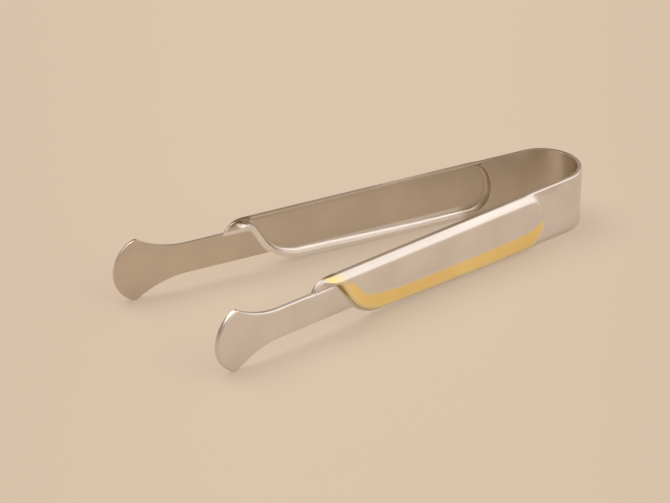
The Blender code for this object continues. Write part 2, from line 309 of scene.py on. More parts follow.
# %% Limits of the gold
def between(p, q, r, w, t):
    """A number on the smooth way from q to r, with p before them and w behind."""
    square = (2 * p - 5 * q + 4 * r - w) * t * t
    cube = (3 * q - p - 3 * r + w) * t**3
    return (2 * q + (r - p) * t + square + cube) / 2


def through(spots, step=0.02):
    """Fine points of a smooth curve through a few spots."""
    ends = [spots[0]] + list(spots) + [spots[-1]]
    line = []
    for a, b, c, d in zip(ends, ends[1:], ends[2:], ends[3:]):
        for t in fine(0, 1, step / math.dist(b, c))[:-1]:
            line.append(tuple(between(*numbers, t) for numbers in zip(a, b, c, d)))
    return line + [spots[-1]]


def outward(line):
    """Unit direction across a line at each point, to the right of its run."""
    found = []
    for index in range(len(line)):
        back = line[max(0, index - 1)]
        ahead = line[min(len(line) - 1, index + 1)]
        run, rise = ahead[0] - back[0], ahead[1] - back[1]
        length = math.hypot(run, rise)
        found.append((rise / length, -run / length))
    return found


def inset(line, across, distances):
    """The line moved inwards by a distance of its own for each point."""
    return [(u - du * d, z - dz * d) for (u, z), (du, dz), d in zip(line, across, distances)]


def shifted(line, distance):
    """The line moved inwards by the same distance everywhere."""
    return inset(line, outward(line), [distance] * len(line))


foot_step = step_from(((37.0, 0.25), (47.0, 0.4), (PANEL_REAR - 6.5, 0.9), (math.inf, 0.35)))
HORN_RIDGE = [
    (30.5, 13.0), (30.9, 12.68), (31.7, 12.4), (32.5, 11.8), (33.1, 11.05), (33.75, 10.2),
]
ABOVE_HORN = [(35.5, 14.5), (30.5, 14.5)]
TAIL_TOP = 7.5


def gold_outer():
    """Outer limit: the horn's ridge, then beside the foot line to the rear end."""
    thin = walk(low_foot, foot_step)
    beside = shifted(thin, GOLD_INSET)
    ridge = walk(through(HORN_RIDGE), foot_step)
    return ridge[:-1] + [(u, z) for u, z in beside if u > HORN_RIDGE[-1][0] and z < TAIL_TOP]


outer_limit = gold_outer()
inner_limit = through([
    (35.9, 13.15), (36.5, 12.5), (37.4, 11.35), (38.65, 9.75), (40.3, 7.9), (42.0, 6.75),
    (44.2, 6.2), (47.7, 5.8), (51.0, 5.5), (56.5, 5.35), (62.5, 5.2), (80.5, 5.15),
    (87.5, 5.3), (90.4, 5.85), (92.6, 6.65), outer_limit[-1],
])
gold_loop = even(outer_limit + inner_limit[::-1] + ABOVE_HORN, 0.1)
print(f"gold border from u = {outer_limit[0][0]:.1f} to {outer_limit[-1][0]:.1f} mm")

# %% [markdown]
# ## Flat mesh of the half strip
# One way to mesh a sheet is a regular grid, but a grid can't follow both the round jaw and the
# slanting step. Here points are strewn where the shape will bend: in rows beside the foot
# lines, in columns round the bow, and thinly on the flats. A Delaunay triangulation joins
# them and keeps the rows as unbroken lines, so that the narrow shoulder stays smooth. The
# sheet's cut edges get a round, as a tumbled blank has, and only a hint of one where the
# shoulder starts right at the edge.

# %% Points inside the blank
EDGE_ROUND = 0.36
PANEL_ROUND = 0.05
PANEL_ROUND_START = CORNER_FOOT - 8.5
INNER_ROUND = 0.03


def tree_of(line):
    """Search tree over the points of a line."""
    tree = KDTree(len(line))
    for index, (u, z) in enumerate(line):
        tree.insert((u, z, 0.0), index)
    tree.balance()
    return tree


edge_across = outward(edge)
edge_across[0] = (0.0, 1.0)
edge_across[-1] = (0.0, -1.0)


def smooth(value):
    """Eases from 0 to 1 with level ends."""
    value = max(0.0, min(1.0, value))
    return value * value * (3 - 2 * value)


def round_at(point):
    """Radius of the outer edge's round: small where the panel's shoulder starts at the edge."""
    u, z = point
    start = HORN_EDGE_START - 0.6 if z > BAND_WIDTH - 0.6 else PANEL_ROUND_START
    panel = smooth((u - start) / 0.8) * smooth((rear_line[-1][0] + 0.5 - u) / 1.5)
    return EDGE_ROUND + (PANEL_ROUND - EDGE_ROUND) * panel


edge_rounds = [round_at(point) for point in edge]


border = inset(edge, edge_across, edge_rounds)
low_tree = tree_of(low_foot)
high_tree = tree_of(high_foot)


def shoulder_rows():
    """Rows of points beside both foot lines, each kept only on its own side."""
    found = []
    for line, own in ((low_foot, low_tree), (high_foot, high_tree)):
        thin = walk(line, foot_step)
        for row in rows:
            beside = shifted(thin, row)
            found.append([(u, z) for u, z in beside if own.find((u, z, 0.0))[2] > abs(row) - 0.02])
    return found


def flat_points():
    """Columns round the bow, and thin points on the flats."""
    points = []
    for u in fine(ARM_LENGTH - 4.0, CROWN, 0.3)[:-1]:
        points += [(u, z) for z in fine(1.2, BAND_WIDTH - 1.2, 1.6)]
    for u in fine(1.2, ARM_LENGTH - 5.0, 1.7):
        points += [(u, z) for z in fine(-0.5, JAW_HEIGHT, 1.5)]
    return points


print(f"the edge round is {min(edge_rounds):.2f} to {max(edge_rounds):.2f} mm wide")

# %% Places inside an outline
CELL = 0.3


def inside(point, loop):
    """True if a place lies inside a closed loop."""
    u, z = point
    found = False
    for (u0, z0), (u1, z1) in zip(loop, loop[1:] + loop[:1]):
        if (z0 > z) != (z1 > z) and u < u0 + (z - z0) * (u1 - u0) / (z1 - z0):
            found = not found
    return found


def strew(firm, sets, loop):
    """The firm points, then those of each set that lie inside the loop and clear of the rest."""
    cells = {}
    kept = []
    names = []

    def cell(point):
        return int(point[0] // CELL), int(point[1] // CELL)

    def keep(point):
        cells.setdefault(cell(point), []).append(point)
        kept.append(point)

    def near(point, reach):
        column, row = cell(point)
        around = [(column + i, row + j) for i in (-1, 0, 1) for j in (-1, 0, 1)]
        others = (other for spot in around for other in cells.get(spot, ()))
        return any(math.dist(point, other) < reach for other in others)

    for point in firm:
        keep(point)
    for points, gap in sets:
        names.append([])
        for point in points:
            if not near(point, gap) and inside(point, loop):
                names[-1].append(len(kept))
                keep(point)
    return kept, names


# %% Triangles of the flat sheet
ROW_LINES_FROM = 36.0
ROW_GAP = 1.3


def runs(names):
    """Pairs of neighbours in a row, behind the horn and with no gap between them."""
    for a, b in zip(names, names[1:]):
        first, second = sheet_points[a], sheet_points[b]
        if min(first[0], second[0]) > ROW_LINES_FROM and math.dist(first, second) < ROW_GAP:
            yield [a, b]


def triangles(points, loop_size, lines):
    """Delaunay triangles inside the loop of the first points, with edges along the lines."""
    spots = [Vector(point) for point in points]
    pairs = [pair for line in lines for pair in zip(line, line[1:])]
    made, _, faces, origin, _, _ = delaunay_2d_cdt(spots, pairs, [list(range(loop_size))], 1, 1e-7)
    names = []
    for place, sources in zip(made, origin):
        if not sources:
            print("lines cross at", [round(value, 2) for value in place])
            points.append(tuple(place))
        names.append(sources[0] if sources else len(points) - 1)
    return [tuple(names[corner] for corner in face) for face in faces]


def pinned(line):
    """A line without its first point, and the border point that it starts from."""
    start = min(range(len(border)), key=lambda index: math.dist(border[index], line[0]))
    return start, line[1:]


cut = [(CROWN, z) for z in fine(EDGE_ROUND, BAND_WIDTH - EDGE_ROUND, 1.6)[1:-1]]
loop = border + cut
outer_start, outer_line = pinned(outer_limit)
inner_start, inner_line = pinned(walk(inner_limit, foot_step))
firm = loop + outer_line + inner_line[:-1]
outer_names = [outer_start] + list(range(len(loop), len(loop) + len(outer_line)))
inner_names = [inner_start] + list(range(outer_names[-1] + 1, len(firm))) + [outer_names[-1]]
beside_gold = []
for distance in (0.35, 0.7, 1.05):
    beside_gold += shifted(inner_line, distance)
shoulders = shoulder_rows()
spots = [(row, 0.04) for row in shoulders] + [(beside_gold, 0.12), (flat_points(), 0.3)]
sheet_points, kept_names = strew(firm, spots, loop)
row_lines = [pair for names in kept_names[: len(shoulders)] for pair in runs(names)]
sheet_faces = triangles(sheet_points, len(loop), [outer_names, inner_names] + row_lines)
print(f"{len(sheet_points)} points and {len(sheet_faces)} triangles on each face of the sheet")

# %% [markdown]
# ## Flat sheet with thickness
# Two copies of the triangulated face lie half a sheet apart on either side of the middle, and
# rings of points round the edge join them. Each vertex keeps some numbers in attributes, which
# is the plain way to hand them to nodes. `strip` is its place on the flat blank, so that
# brushing can follow the steel round the bow. The others say whether the die reaches it, how
# far it lies from the foot and inside the gold, and how deep the groove under the horn is.

# %% Flat sheet
ROUND_STEPS = 4
GROOVE_DEPTH = 0.2
GROOVE_HALF = 0.25
GROOVE_FRONT = 25.0
GROOVE_REAR = 33.4
OUTER_FACE = 0.3
GOLD_FADE = 1.0
HORN_FADE = 4.5
HORN_FADE_FROM = 10.3
GUIDE_STEP = 0.08
inner_tree = tree_of(inner_limit)
foot_tree = tree_of(even(low_foot, GUIDE_STEP))
panel_loop = even(low_foot + high_foot[1:-1], 0.1)


def edge_rings(half):
    """Rings round the sheet's edge, from the inner face outwards: each point's inset and height."""
    quarter = [math.pi / 2 * index / ROUND_STEPS for index in range(ROUND_STEPS + 1)]
    rings = []
    for angle in quarter:
        away = INNER_ROUND * (1 - math.sin(angle))
        height = INNER_ROUND * (1 - math.cos(angle)) - half
        rings.append([(away, height) for _ in edge])
    for angle in quarter[:-1]:
        ring = [(r * (1 - math.cos(angle)), half - r * (1 - math.sin(angle))) for r in edge_rounds]
        rings.append(ring)
    return rings


def flat_sheet(name):
    """Closed flat half strip as a mesh of (u, n, z) places."""
    shape = bmesh.new()
    half = SHEET / 2
    inner = [shape.verts.new((u, -half, z)) for u, z in sheet_points]
    outer = [shape.verts.new((u, half, z)) for u, z in sheet_points]
    for a, b, c in sheet_faces:
        shape.faces.new((inner[a], inner[b], inner[c]))
        shape.faces.new((outer[a], outer[c], outer[b]))
    rings = [inner[: len(edge)]]
    for ring in edge_rings(half):
        places = inset(edge, edge_across, [away for away, _ in ring])
        rings.append([shape.verts.new((u, n, z)) for (u, z), (_, n) in zip(places, ring)])
    rings.append(outer[: len(edge)])
    for low, high in zip(rings, rings[1:]):
        for i in range(len(edge) - 1):
            shape.faces.new((low[i], low[i + 1], high[i + 1], high[i]))
    cap = [ring[-1] for ring in rings] + outer[len(edge) : len(loop)]
    cap += [ring[0] for ring in reversed(rings)] + inner[len(edge) : len(loop)][::-1]
    shape.faces.new(cap)
    mesh = bpy.data.meshes.new(name)
    shape.to_mesh(mesh)
    shape.free()
    return mesh


def groove_at(point):
    """Depth of the groove that the neck's round edge leaves under the horn."""
    u, z = point
    along = smooth((GROOVE_REAR - u) / 1.5) * smooth((u - GROOVE_FRONT) / 1.5)
    return GROOVE_DEPTH * along * math.exp(-(((z - STEP_TOP) / GROOVE_HALF) ** 2))


def fade_at(point):
    """Width over which the gold runs out: wide on the ridge of the horn, narrow elsewhere."""
    return GOLD_FADE + (HORN_FADE - GOLD_FADE) * smooth((point[1] - HORN_FADE_FROM) / 1.5)


def mark_blank(mesh):
    """Stores each vertex's place on the blank, what the die reaches, the groove and the gold."""
    places = []
    marks = {"pressed": [], "foot": [], "groove": [], "plated": []}
    for u, n, z in (vertex.co for vertex in mesh.vertices):
        reached = float(inside((u, z), panel_loop))
        places += (u, n, z)
        marks["pressed"].append(reached)
        marks["foot"].append(foot_tree.find((u, z, 0.0))[2] * (2 * reached - 1))
        marks["groove"].append(groove_at((u, z)) if n > OUTER_FACE else 0.0)
        marks["plated"].append(inner_tree.find((u, z, 0.0))[2] / fade_at((u, z)))
    mesh.attributes.new("strip", "FLOAT_VECTOR", "POINT").data.foreach_set("vector", places)
    for name, values in marks.items():
        mesh.attributes.new(name, "FLOAT", "POINT").data.foreach_set("value", values)


flat = flat_sheet("flat_sheet")
mark_blank(flat)
print(f"flat sheet: {len(flat.vertices)} vertices, {len(flat.polygons)} faces")

# %% [markdown]
# ## Node tree that presses and bends
# The tree measures how far each point lies from the two foot lines, turns that distance into
# the height of the shoulder, and moves the sheet outwards. The thickness is laid off square to
# the pressed face, as a real sheet keeps it. The sharp bend at the foot draws the inner side
# into its corner, though, and stretches the flank a little thinner. Then the straight strip is
# wrapped round the bow. A tree suits this better than sculpting, because one change of radius
# reshapes both arms.

# %% Node helpers
def feed(tree, socket, value):
    """Links another socket to this one, or writes a plain value into it."""
    if isinstance(value, bpy.types.NodeSocket):
        tree.links.new(value, socket)
    else:
        socket.default_value = value


def made(tree, kind, inputs, output=0, **settings):
    """Makes a node, sets it up and fills its inputs; gives one of its outputs."""
    node = tree.nodes.new(kind)
    for word, setting in settings.items():
        setattr(node, word, setting)
    for name, value in inputs.items():
        feed(tree, node.inputs[name], value)
    return node.outputs[output]


def maths(tree, operation, *values):
    """One Math node; gives its output."""
    return made(tree, "ShaderNodeMath", dict(enumerate(values)), operation=operation)


def times(tree, first, second):
    """The product of two numbers."""
    return maths(tree, "MULTIPLY", first, second)


def plus(tree, first, second):
    """The sum of two numbers."""
    return maths(tree, "ADD", first, second)


def minus(tree, first, second):
    """The first number less the second."""
    return maths(tree, "SUBTRACT", first, second)


def vectors(tree, operation, *values):
    """One Vector Math node; gives its vector output."""
    return made(tree, "ShaderNodeVectorMath", dict(enumerate(values)), operation=operation)


def scaled(tree, vector, factor):
    """A vector times a number."""
    return made(tree, "ShaderNodeVectorMath", {0: vector, "Scale": factor}, operation="SCALE")


def joined(tree, x, y, z):
    """A vector from three numbers."""
    return made(tree, "ShaderNodeCombineXYZ", {"X": x, "Y": y, "Z": z})


def parts(tree, vector):
    """The three numbers of a vector."""
    node = tree.nodes.new("ShaderNodeSeparateXYZ")
    feed(tree, node.inputs[0], vector)
    return node.outputs


def ramp(tree, value, low, high, start=0.0):
    """Eases from the start at the low value to 1 at the high one."""
    inputs = {"Value": value, "From Min": low, "From Max": high, "To Min": start}
    return made(tree, "ShaderNodeMapRange", inputs, "Result", interpolation_type="SMOOTHSTEP")


# %% Shoulder height from a distance
def way_from(tree, line, place):
    """Distance of a place from a line object, and the unit direction away from the line."""
    shape = made(tree, "GeometryNodeObjectInfo", {"Object": line}, "Geometry")
    near = tree.nodes.new("GeometryNodeProximity")
    near.target_element = "EDGES"
    feed(tree, near.inputs[0], shape)
    feed(tree, near.inputs["Source Position"], place)
    away = vectors(tree, "SUBTRACT", place, near.outputs["Position"])
    return near.outputs["Distance"], vectors(tree, "NORMALIZE", away)


def arc_root(tree, radius, run):
    """How far an arc's centre lies above the arc, a run to the side of the centre."""
    square = minus(tree, times(tree, radius, radius), times(tree, run, run))
    return maths(tree, "SQRT", maths(tree, "MAXIMUM", square, 1e-6))


def shoulder(tree, gap, sizes):
    """Height, slope and inner corner of the shoulder at a distance from its foot."""
    foot, roll, tilt, width, top = sizes
    left = maths(tree, "MAXIMUM", minus(tree, width, gap), 0.0)
    foot_root = arc_root(tree, foot, gap)
    roll_root = arc_root(tree, roll, left)
    foot_slope = maths(tree, "DIVIDE", gap, foot_root)
    roll_slope = maths(tree, "DIVIDE", left, roll_root)
    slope = maths(tree, "MINIMUM", tilt, maths(tree, "MINIMUM", foot_slope, roll_slope))
    lean = maths(tree, "ARCTANGENT", tilt)
    foot_end = times(tree, foot, maths(tree, "SINE", lean))
    foot_rise = minus(tree, foot, times(tree, foot, maths(tree, "COSINE", lean)))
    roll_end = times(tree, roll, maths(tree, "SINE", lean))
    low_arc = minus(tree, foot, foot_root)
    flank = plus(tree, foot_rise, times(tree, tilt, minus(tree, gap, foot_end)))
    high_arc = minus(tree, top, minus(tree, roll, roll_root))
    on_foot = maths(tree, "LESS_THAN", gap, foot_end)
    on_roll = maths(tree, "LESS_THAN", left, roll_end)
    height = pick(tree, on_foot, low_arc, pick(tree, on_roll, high_arc, flank))
    return height, slope, times(tree, on_foot, corner(tree, slope, tilt))


def corner(tree, slope, tilt):
    """Share by which the sheet's inner side reaches into the corner of the bend at the foot."""
    lean = maths(tree, "ARCTANGENT", slope)
    rest = minus(tree, maths(tree, "ARCTANGENT", tilt), lean)
    reach = maths(tree, "DIVIDE", 1.0, maths(tree, "COSINE", maths(tree, "MINIMUM", lean, rest)))
    return minus(tree, reach, 1.0)


def pick(tree, choice, first, second):
    """The first value where the choice is 1, otherwise the second."""
    share = times(tree, choice, minus(tree, first, second))
    return plus(tree, second, share)


# %% The press
def pressed_place(tree, place, ends):
    """Place of a point of the sheet once the die has closed on it."""
    u, n, z = parts(tree, place)
    spot = joined(tree, u, 0.0, z)
    names = ("Foot radius", "Shoulder radius", "Flank slope", "Shoulder width", "Raise")
    sizes = [ends[name] for name in names]
    low_gap, low_way = way_from(tree, ends["Lower foot"], spot)
    high_gap, high_way = way_from(tree, ends["Upper foot"], spot)
    stretch = ramp(tree, u, ends["Horn tip"], ends["Horn root"], 0.1)
    low_height, low_slope, bend = shoulder(tree, times(tree, low_gap, stretch), sizes)
    steep = maths(tree, "DIVIDE", low_slope, ends["Flank slope"])
    thin = times(tree, ends["Thinning"], steep)
    bend = times(tree, ends["Bend corner"], bend)
    extra = times(tree, stretch, minus(tree, bend, thin))
    low_slope = times(tree, low_slope, stretch)
    high_height, high_slope, _ = shoulder(tree, high_gap, sizes)
    low = (low_height, low_slope, low_way, extra)
    return meet(tree, (u, n, z), ends, low, (high_height, high_slope, high_way))


def marked(tree, name):
    """A number that the flat sheet keeps for each point."""
    return made(tree, "GeometryNodeInputNamedAttribute", {"Name": name}, "Attribute")


def meet(tree, place, ends, low, high):
    """Lets the lower and the upper shoulder meet in a soft ridge, and lays off the thickness."""
    u, n, z = place
    soft = ends["Ridge softness"]
    lead = maths(tree, "DIVIDE", minus(tree, high[0], low[0]), soft)
    share = made(tree, "ShaderNodeClamp", {"Value": maths(tree, "MULTIPLY_ADD", lead, 0.5, 0.5)})
    rest = minus(tree, 1.0, share)
    height = plus(tree, times(tree, share, low[0]), times(tree, rest, high[0]))
    dip = times(tree, soft, times(tree, share, rest))
    reach = marked(tree, "pressed")
    height = times(tree, reach, maths(tree, "MAXIMUM", minus(tree, height, dip), 0.0))
    low_lean = scaled(tree, low[2], times(tree, share, low[1]))
    high_lean = scaled(tree, high[2], times(tree, rest, high[1]))
    lean = scaled(tree, vectors(tree, "ADD", low_lean, high_lean), reach)
    square = vectors(tree, "NORMALIZE", vectors(tree, "SUBTRACT", (0.0, 1.0, 0.0), lean))
    half = times(tree, ends["Sheet"], 0.5)
    height = minus(tree, height, marked(tree, "groove"))
    face = joined(tree, u, plus(tree, height, half), z)
    extra = times(tree, times(tree, share, reach), low[3])
    depth = times(tree, minus(tree, n, half), plus(tree, 1.0, extra))
    return vectors(tree, "ADD", face, scaled(tree, square, depth))


# %% The bend
def bent_place(tree, place, ends):
    """Place of a point of the pressed strip once the bow is bent."""
    u, n, z = parts(tree, place)
    past = minus(tree, u, ends["Arm length"])
    turn = maths(tree, "DIVIDE", maths(tree, "MAXIMUM", past, 0.0), ends["Bow radius"])
    angle = plus(tree, turn, ends["Arm angle"])
    run = maths(tree, "MAXIMUM", times(tree, past, -1.0), 0.0)
    radius = plus(tree, n, ends["Bow radius"])
    x = times(tree, radius, maths(tree, "SINE", angle))
    x = minus(tree, x, times(tree, run, maths(tree, "COSINE", ends["Arm angle"])))
    x = plus(tree, x, ends["Bow centre"])
    y = times(tree, radius, maths(tree, "COSINE", angle))
    y = plus(tree, y, times(tree, run, maths(tree, "SINE", ends["Arm angle"])))
    y = times(tree, y, ends["Side"])
    return scaled(tree, joined(tree, x, y, z), MM)


TREE_INPUTS = {
    "Lower foot": None,
    "Upper foot": None,
    "Sheet": SHEET,
    "Raise": RAISE,
    "Foot radius": FOOT_RADIUS,
    "Shoulder radius": SHOULDER_RADIUS,
    "Flank slope": math.tan(FLANK),
    "Shoulder width": shoulder_width,
    "Ridge softness": 0.12,
    "Bend corner": 1.05,
    "Thinning": 0.15,
    "Horn tip": 29.0,
    "Horn root": 34.2,
    "Arm length": ARM_LENGTH,
    "Arm angle": ARM_ANGLE,
    "Bow radius": BOW_RADIUS,
    "Bow centre": BOW_CENTRE,
    "Side": 1.0,
    "Finish": None,
}


def press_tree():
    """The whole tree, with one named input for each size."""
    tree = bpy.data.node_groups.new("press_and_bend", "GeometryNodeTree")
    face = tree.interface
    face.new_socket("Geometry", in_out="INPUT", socket_type="NodeSocketGeometry")
    for name, value in TREE_INPUTS.items():
        kind = "NodeSocketMaterial" if name == "Finish" else "NodeSocketFloat"
        kind = "NodeSocketObject" if name.endswith("foot") else kind
        socket = face.new_socket(name, in_out="INPUT", socket_type=kind)
        if value is not None:
            socket.default_value = value
    face.new_socket("Geometry", in_out="OUTPUT", socket_type="NodeSocketGeometry")
    ends = tree.nodes.new("NodeGroupInput").outputs
    place = tree.nodes.new("GeometryNodeInputPosition").outputs[0]
    mover = tree.nodes.new("GeometryNodeSetPosition")
    tree.links.new(ends["Geometry"], mover.inputs["Geometry"])
    feed(tree, mover.inputs["Position"], bent_place(tree, pressed_place(tree, place, ends), ends))
    real = tree.nodes.new("GeometryNodeRealizeInstances")
    tree.links.new(mover.outputs[0], real.inputs[0])
    finish = tree.nodes.new("GeometryNodeSetMaterial")
    tree.links.new(real.outputs[0], finish.inputs["Geometry"])
    feed(tree, finish.inputs["Material"], ends["Finish"])
    out = tree.nodes.new("NodeGroupOutput")
    tree.links.new(finish.outputs[0], out.inputs[0])
    return tree


press = press_tree()
print(f"the tree has {len(press.nodes)} nodes and {len(TREE_INPUTS)} inputs")

# %% [markdown]
# ## Steel and gilding
# Table steel is polished along the strip with a fine belt. The scratches are far thinner than a
# picture point, so what the eye sees is a soft sheen, drawn out across them, with faint finger
# marks. Anisotropic reflection draws out the sheen, and noise stretched along `strip` makes the
# streaks and a faint bump. Painted shade makes the inner side and the cut edge's top duller and
# browner, with a painted highlight on the inner lower bend and darker shade on the horn's cut edge.

# %% Finish helpers
def stored(tree, name, output="Fac"):
    """What the mesh keeps for each point under a name."""
    return made(tree, "ShaderNodeAttribute", {}, output, attribute_name=name)


def strip_place(tree, stretch):
    """Place on the blank, squeezed so that noise runs in streaks along the strip."""
    place = stored(tree, "strip", "Vector")
    return made(tree, "ShaderNodeMapping", {"Vector": place, "Scale": stretch})


def noise(tree, place, scale, detail):
    """Noise at a place."""
    inputs = {"Vector": place, "Scale": scale, "Detail": detail}
    return made(tree, "ShaderNodeTexNoise", inputs, "Fac")


def spread(tree, value, low, high):
    """Moves a value from 0.3 to 0.7 into another range."""
    inputs = {"Value": value, "From Min": 0.3, "From Max": 0.7, "To Min": low, "To Max": high}
    return made(tree, "ShaderNodeMapRange", inputs)


def mixed(tree, share, first, second, kind="MIX"):
    """The first colour where the share is 0, mixed with the second one or multiplied by it."""
    inputs = {"Factor": share}
    for name, colour in (("A", first), ("B", second)):
        plain = not isinstance(colour, bpy.types.NodeSocket)
        inputs[name] = (*colour, 1.0) if plain else colour
    return made(tree, "ShaderNodeMix", inputs, "Result", data_type="RGBA", blend_type=kind)


def toned(tree, colour, *tones):
    """The colour multiplied by each tone as far as the share before it says."""
    for share, tone in tones:
        colour = mixed(tree, share, colour, tone, "MULTIPLY")
    return colour


def bright(colour, factor):
    """A colour made brighter or darker, no brighter than white."""
    return [min(1.0, factor * part) for part in colour]


def new_finish(name):
    """An empty material with a Principled shader."""
    finish = bpy.data.materials.new(name)
    finish.use_nodes = True
    return finish, finish.node_tree, finish.node_tree.nodes["Principled BSDF"]


# %% Painted light and shade on the steel
# Painted shade: darker, browner colour on the inner side and on top of the cut edge.
INNER_PAINTED_SHADE = (0.86, 0.80, 0.71)
# Painted highlight: brighter colour on the inner bend at the panel's foot and near the lower edge.
BEND_PAINTED_HIGHLIGHT = (1.22, 1.24, 1.26)
BEND_HIGHLIGHT_TOP = 2.3
BEND_HIGHLIGHT_REAR = 86.0
# Painted shade: darker colour on the horn's cut edge, which dims its highlight.
HORN_PAINTED_SHADE = (0.55, 0.50, 0.44)
HORN_CUT_LOW = 12.4
HORN_CUT_FRONT = 28.5
HORN_CUT_REAR = 32.8


def steel_with_painted_light(tree, colour):
    """Painted shade inside, atop the cut edge and on the horn's edge; a painted highlight on the
    low bend.
    """
    u, n, z = parts(tree, stored(tree, "strip", "Vector"))
    foot = stored(tree, "foot")
    # Painted shade covers the top of the cut edge as well as the inner side.
    top = ramp(tree, z, BAND_WIDTH - 0.3, BAND_WIDTH - 0.05)
    depth = maths(tree, "MULTIPLY_ADD", top, -0.7, n)
    inner = minus(tree, 1.0, ramp(tree, depth, -0.48, -0.3))
    # Painted highlight along the inner bend at the foot and near the lower edge, ahead of the rear.
    low = ramp(tree, z, BEND_HIGHLIGHT_TOP + 0.6, BEND_HIGHLIGHT_TOP)
    bend_highlight = maths(tree, "MAXIMUM", ramp(tree, foot, 0.6, 0.1), low)
    bend_highlight = times(tree, bend_highlight, ramp(tree, foot, -0.8, -0.2))
    bend_highlight = times(tree, bend_highlight, ramp(tree, u, BEND_HIGHLIGHT_REAR + 3.0, BEND_HIGHLIGHT_REAR))
    # Painted shade on the horn's cut edge.
    horn = ramp(tree, u, HORN_CUT_FRONT - 2.0, HORN_CUT_FRONT)
    horn = times(tree, horn, ramp(tree, n, 0.36, 0.26))
    horn = times(tree, horn, ramp(tree, u, HORN_CUT_REAR + 0.8, HORN_CUT_REAR))
    horn = times(tree, horn, ramp(tree, z, HORN_CUT_LOW - 0.8, HORN_CUT_LOW))
    # Painted shade where the inner side has no painted highlight, and that highlight on its lower
    # bend.
    plain = times(tree, inner, minus(tree, 1.0, bend_highlight))
    bend_highlight = times(tree, inner, bend_highlight)
    return toned(tree, colour, (plain, INNER_PAINTED_SHADE), (bend_highlight, BEND_PAINTED_HIGHLIGHT), (horn, HORN_PAINTED_SHADE))


# %% Satin steel
STEEL = (0.76, 0.73, 0.70)
STREAKS = (0.008, 1.0, 1.0)
SCRATCH_DEPTH = 0.00005


def satin_steel(name, colour, rough):
    """Belt-polished steel with streaks along the strip and faint finger marks."""
    finish, tree, shader = new_finish(name)
    streaks = noise(tree, strip_place(tree, STREAKS), 3.0, 2.0)
    marks = noise(tree, strip_place(tree, (1.0, 1.0, 1.0)), 0.12, 4.0)
    tint = mixed(tree, spread(tree, marks, 0.0, 1.0), bright(colour, 0.96), bright(colour, 1.05))
    satin = spread(tree, streaks, rough - 0.015, rough + 0.02)
    smudge = spread(tree, marks, 0.0, 0.04)
    scratches = {"Strength": 0.06, "Distance": SCRATCH_DEPTH, "Height": streaks}
    settings = {
        "Metallic": 1.0,
        "Anisotropic": 0.8,
        "Anisotropic Rotation": 0.25,
        "Tangent": made(tree, "ShaderNodeTangent", {}, direction_type="RADIAL", axis="Z"),
        "Base Color": steel_with_painted_light(tree, tint),
        "Roughness": plus(tree, satin, smudge),
        "Normal": made(tree, "ShaderNodeBump", scratches),
    }
    for word, value in settings.items():
        feed(tree, shader.inputs[word], value)
    return finish


steel = satin_steel("polished_steel", STEEL, 0.295)
print(f"{steel.name}: {len(steel.node_tree.nodes)} nodes")

# %% [markdown]
# ## Pieces of the strip
# The tree runs on the flat sheet once for each side. Its result is turned into a plain mesh, so
# that nothing live is left on the piece. The real strip has no hinge: it bends as a spring.

# %% Run the tree
SHARP_FROM = math.radians(42.0)


def line_object(name, points):
    """A row of edges for the tree to measure from."""
    mesh = bpy.data.meshes.new(name)
    pairs = [(index, index + 1) for index in range(len(points) - 1)]
    mesh.from_pydata([(u, 0.0, z) for u, z in points], pairs, [])
    return bpy.data.objects.new(name, mesh)


low_guide = line_object("low_guide", even(low_foot, GUIDE_STEP))
high_guide = line_object("high_guide", even(high_foot, GUIDE_STEP))
print("points to measure from:", len(low_guide.data.vertices) + len(high_guide.data.vertices))


def press_piece(name, mesh, side, finish):
    """Presses and bends a flat mesh, and gives the result as a plain object."""
    holder = bpy.data.objects.new("holder", mesh)
    bpy.context.collection.objects.link(holder)
    maker = holder.modifiers.new("press", "NODES")
    maker.node_group = press
    sockets = [item for item in press.interface.items_tree if item.in_out == "INPUT"]
    ids = {socket.name: socket.identifier for socket in sockets}
    for word, value in TREE_INPUTS.items():
        if value is not None:
            maker[ids[word]] = value
    maker[ids["Lower foot"]] = low_guide
    maker[ids["Upper foot"]] = high_guide
    maker[ids["Side"]] = float(side)
    maker[ids["Finish"]] = finish
    ready = holder.evaluated_get(bpy.context.evaluated_depsgraph_get())
    plain = bpy.data.meshes.new_from_object(ready)
    bpy.data.objects.remove(holder)
    plain.name = name
    return tidy_piece(name, plain, finish)


def tidy_piece(name, plain, finish):
    """Turns the faces outwards, shades them and adds the object."""
    shape = bmesh.new()
    shape.from_mesh(plain)
    bmesh.ops.recalc_face_normals(shape, faces=shape.faces)
    bmesh.ops.triangulate(shape, faces=[face for face in shape.faces if len(face.verts) > 4])
    shape.to_mesh(plain)
    shape.free()
    plain.materials.clear()
    plain.materials.append(finish)
    plain.shade_smooth()
    plain.set_sharp_from_angle(angle=SHARP_FROM)
    piece = bpy.data.objects.new(name, plain)
    bpy.context.collection.objects.link(piece)
    return piece


for side, word in ((-1, "right"), (1, "left")):
    piece = press_piece(f"{word}_half", flat.copy(), side, steel)
    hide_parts(f"{word}_arm", "bow")
    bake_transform(piece)
    print(f"{piece.name}: {len(piece.data.vertices)} vertices")

# %% [markdown]
# ## Gilded border
# The gold is a plating only a few thousandths of a millimetre thick. A thin coat of its own is
# laid on the steel here: the same points and triangles, cut to the border's outline, pressed
# and bent by the same tree, so that the two can't cross. On the horn it wraps over the edge.
# Along the inner limit its colour fades into the steel's. Above the flank its colour has a painted
# pale highlight and a thin brown line of painted shade.

# %% Triangles under the gold
def middle(face):
    """Middle of a triangle of the sheet."""
    corners = [sheet_points[corner] for corner in face]
    return sum(u for u, _ in corners) / 3, sum(z for _, z in corners) / 3


gold_faces = [face for face in sheet_faces if inside(middle(face), gold_loop)]
print("triangles under gold:", len(gold_faces))


